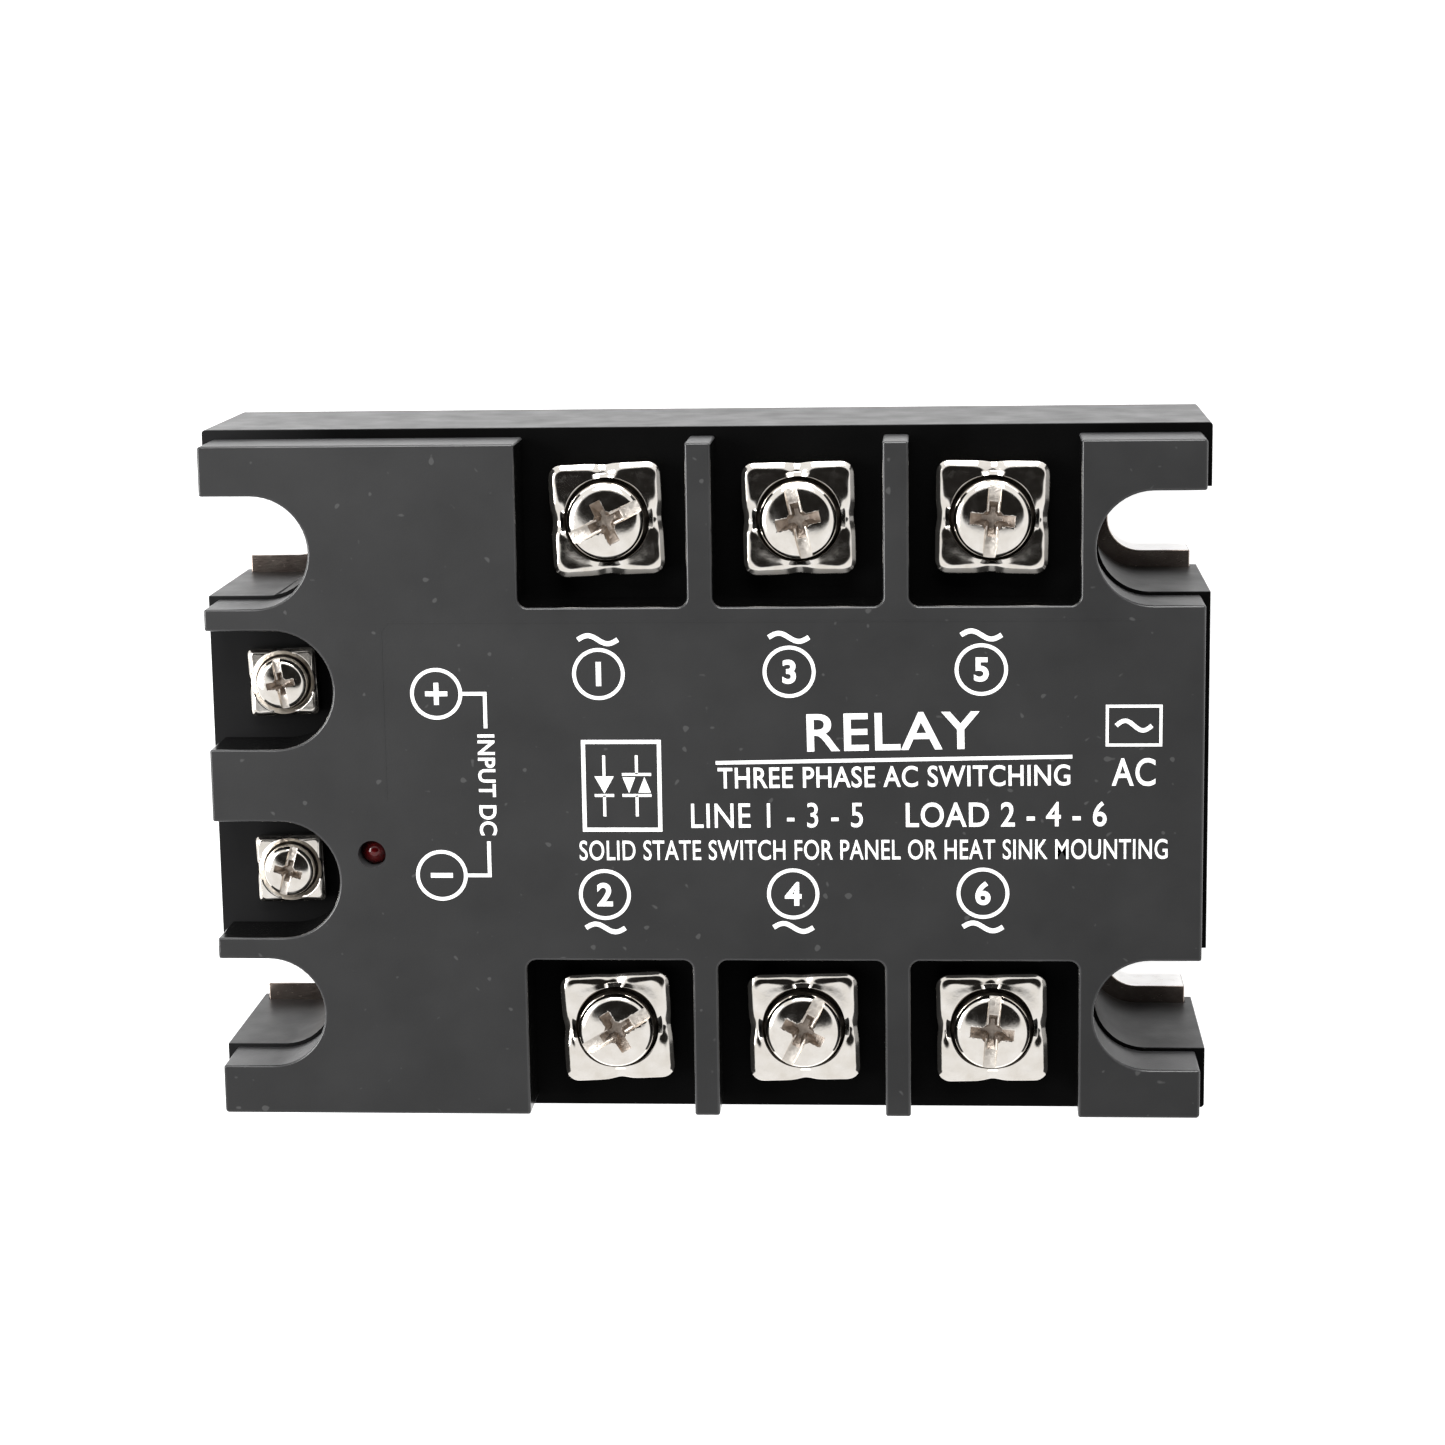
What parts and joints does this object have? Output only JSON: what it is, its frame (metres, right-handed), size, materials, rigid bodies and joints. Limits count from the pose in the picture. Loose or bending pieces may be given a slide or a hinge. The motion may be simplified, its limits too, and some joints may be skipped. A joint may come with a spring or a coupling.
{
  "type": "solid state relay",
  "caption": "Panel mount three-phase solid state relay: black housing on a slotted metal base plate, with power and input screw terminals and a red indicator.",
  "frame": {"origin": "centre of the mounting face, on the underside of the base plate", "axes": "+Z out of the front cover, +X along the rows of power terminals away from the input terminals, +Y towards the line side (terminals 1, 3 and 5)"},
  "size_m": [0.104, 0.0724, 0.0295],
  "materials": {
    "base_metal": "satin nickel plate",
    "steel": "zinc plated",
    "housing_plastic": "satin moulded thermoplastic",
    "cover_plastic": "fine texture moulded thermoplastic",
    "tinned_brass": "satin",
    "plated_steel": "bright nickel plate",
    "screw_steel": "bright nickel plate",
    "ceramic": "matte",
    "copper": "satin copper",
    "silicon": "satin",
    "coupler_plastic": "matte",
    "capacitor_plastic": "gloss",
    "resistor_coat": "satin lacquer",
    "chip_resistor": "matte",
    "board": "solder mask",
    "nylon": "natural nylon",
    "component_plastic": "matte epoxy",
    "led_lens": "tinted epoxy",
    "potting": "cured epoxy"
  },
  "bodies": {
    "root": {"base_plate": "base_metal", "base_screws": "steel", "housing": "housing_plastic", "front_cover": "cover_plastic", "power_nuts": "steel", "input_nuts": "steel", "terminal_bar_1": "tinned_brass", "terminal_bar_2": "tinned_brass", "terminal_bar_3": "tinned_brass", "terminal_bar_4": "tinned_brass", "terminal_bar_5": "tinned_brass", "terminal_bar_6": "tinned_brass", "input_tab_plus": "tinned_brass", "input_tab_minus": "tinned_brass", "ceramic_substrate_1": "ceramic", "copper_pads_1": "copper", "thyristor_chips_1": "silicon", "optocoupler_1": "coupler_plastic", "snubber_capacitor_1": "capacitor_plastic", "snubber_resistor_1": "resistor_coat", "ceramic_substrate_2": "ceramic", "copper_pads_2": "copper", "thyristor_chips_2": "silicon", "optocoupler_2": "coupler_plastic", "snubber_capacitor_2": "capacitor_plastic", "snubber_resistor_2": "resistor_coat", "ceramic_substrate_3": "ceramic", "copper_pads_3": "copper", "thyristor_chips_3": "silicon", "optocoupler_3": "coupler_plastic", "snubber_capacitor_3": "capacitor_plastic", "snubber_resistor_3": "resistor_coat", "gate_wires": "copper", "gate_resistors": "chip_resistor", "control_board": "board", "board_standoffs": "nylon", "input_transistor": "component_plastic", "input_resistors": "chip_resistor", "reverse_diode": "component_plastic", "indicator_led": "led_lens", "indicator_leads": "steel", "potting": "potting"},
    "clamp_1": {"pressure_plate_1": "plated_steel"},
    "screw_1": {"terminal_screw_1": "screw_steel"},
    "clamp_2": {"pressure_plate_2": "plated_steel"},
    "screw_2": {"terminal_screw_2": "screw_steel"},
    "clamp_3": {"pressure_plate_3": "plated_steel"},
    "screw_3": {"terminal_screw_3": "screw_steel"},
    "clamp_4": {"pressure_plate_4": "plated_steel"},
    "screw_4": {"terminal_screw_4": "screw_steel"},
    "clamp_5": {"pressure_plate_5": "plated_steel"},
    "screw_5": {"terminal_screw_5": "screw_steel"},
    "clamp_6": {"pressure_plate_6": "plated_steel"},
    "screw_6": {"terminal_screw_6": "screw_steel"},
    "clamp_plus": {"pressure_plate_plus": "plated_steel"},
    "screw_plus": {"terminal_screw_plus": "screw_steel"},
    "clamp_minus": {"pressure_plate_minus": "plated_steel"},
    "screw_minus": {"terminal_screw_minus": "screw_steel"}
  },
  "joints": [
    {"name": "clamp_1_lift", "type": "slide", "parent": "root", "child": "clamp_1", "axis": [0, 0, 1], "range_m": [0, 0.0028]},
    {"name": "screw_1_turn", "type": "hinge", "parent": "clamp_1", "child": "screw_1", "pos_m": [-0.00975, 0.0269, 0.025], "axis": [0, 0, 1], "range_deg": [0, 1440]},
    {"name": "clamp_2_lift", "type": "slide", "parent": "root", "child": "clamp_2", "axis": [0, 0, 1], "range_m": [0, 0.0028]},
    {"name": "screw_2_turn", "type": "hinge", "parent": "clamp_2", "child": "screw_2", "pos_m": [-0.00975, -0.0269, 0.025], "axis": [0, 0, 1], "range_deg": [0, 1440]},
    {"name": "clamp_3_lift", "type": "slide", "parent": "root", "child": "clamp_3", "axis": [0, 0, 1], "range_m": [0, 0.0028]},
    {"name": "screw_3_turn", "type": "hinge", "parent": "clamp_3", "child": "screw_3", "pos_m": [0.00995, 0.0269, 0.025], "axis": [0, 0, 1], "range_deg": [0, 1440]},
    {"name": "clamp_4_lift", "type": "slide", "parent": "root", "child": "clamp_4", "axis": [0, 0, 1], "range_m": [0, 0.0028]},
    {"name": "screw_4_turn", "type": "hinge", "parent": "clamp_4", "child": "screw_4", "pos_m": [0.00995, -0.0269, 0.025], "axis": [0, 0, 1], "range_deg": [0, 1440]},
    {"name": "clamp_5_lift", "type": "slide", "parent": "root", "child": "clamp_5", "axis": [0, 0, 1], "range_m": [0, 0.0028]},
    {"name": "screw_5_turn", "type": "hinge", "parent": "clamp_5", "child": "screw_5", "pos_m": [0.02965, 0.0269, 0.025], "axis": [0, 0, 1], "range_deg": [0, 1440]},
    {"name": "clamp_6_lift", "type": "slide", "parent": "root", "child": "clamp_6", "axis": [0, 0, 1], "range_m": [0, 0.0028]},
    {"name": "screw_6_turn", "type": "hinge", "parent": "clamp_6", "child": "screw_6", "pos_m": [0.02965, -0.0269, 0.025], "axis": [0, 0, 1], "range_deg": [0, 1440]},
    {"name": "clamp_plus_lift", "type": "slide", "parent": "root", "child": "clamp_plus", "axis": [0, 0, 1], "range_m": [0, 0.002]},
    {"name": "screw_plus_turn", "type": "hinge", "parent": "clamp_plus", "child": "screw_plus", "pos_m": [-0.0441, 0.01, 0.0245], "axis": [0, 0, 1], "range_deg": [0, 1440]},
    {"name": "clamp_minus_lift", "type": "slide", "parent": "root", "child": "clamp_minus", "axis": [0, 0, 1], "range_m": [0, 0.002]},
    {"name": "screw_minus_turn", "type": "hinge", "parent": "clamp_minus", "child": "screw_minus", "pos_m": [-0.0441, -0.01, 0.0245], "axis": [0, 0, 1], "range_deg": [0, 1440]}
  ],
  "couplings": [
    {"joint": "screw_1_turn", "follows": "clamp_1_lift", "rad_per_m": 8976},
    {"joint": "screw_2_turn", "follows": "clamp_2_lift", "rad_per_m": 8976},
    {"joint": "screw_3_turn", "follows": "clamp_3_lift", "rad_per_m": 8976},
    {"joint": "screw_4_turn", "follows": "clamp_4_lift", "rad_per_m": 8976},
    {"joint": "screw_5_turn", "follows": "clamp_5_lift", "rad_per_m": 8976},
    {"joint": "screw_6_turn", "follows": "clamp_6_lift", "rad_per_m": 8976},
    {"joint": "screw_plus_turn", "follows": "clamp_plus_lift", "rad_per_m": 12566},
    {"joint": "screw_minus_turn", "follows": "clamp_minus_lift", "rad_per_m": 12566}
  ]
}
